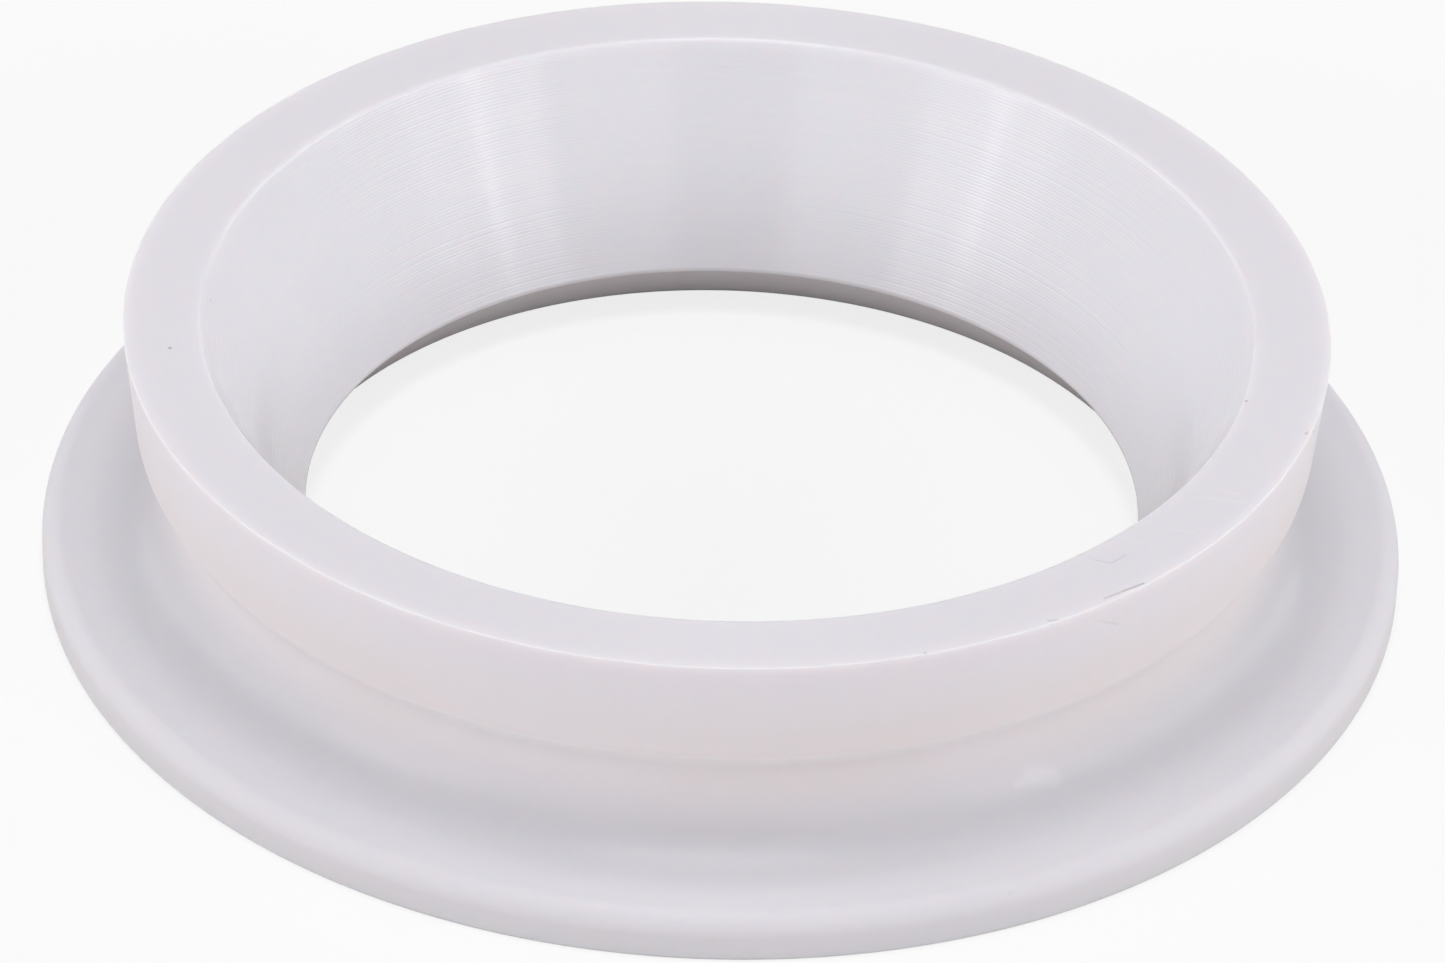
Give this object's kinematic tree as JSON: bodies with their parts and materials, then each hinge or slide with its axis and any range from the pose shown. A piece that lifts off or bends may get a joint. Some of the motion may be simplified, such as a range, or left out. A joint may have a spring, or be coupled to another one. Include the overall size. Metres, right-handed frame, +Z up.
{
  "type": "toilet flange",
  "caption": "One-piece turned plastic toilet flange: a funnel from a wide flat rim to a round throat, a collar with an undercut cove below it, and a broad base flange.",
  "frame": {"origin": "centre of the flat underside", "axes": "+Z up the ring's axis, from the base flange to the rim; the ring is the same all round, so X and Y may be any pair"},
  "size_m": [0.1258, 0.1258, 0.0254],
  "materials": {
    "turned_plastic": "white, slightly translucent plastic with fine turning marks, satin sheen"
  },
  "bodies": {
    "root": {"flange_ring": "turned_plastic"}
  },
  "joints": []
}
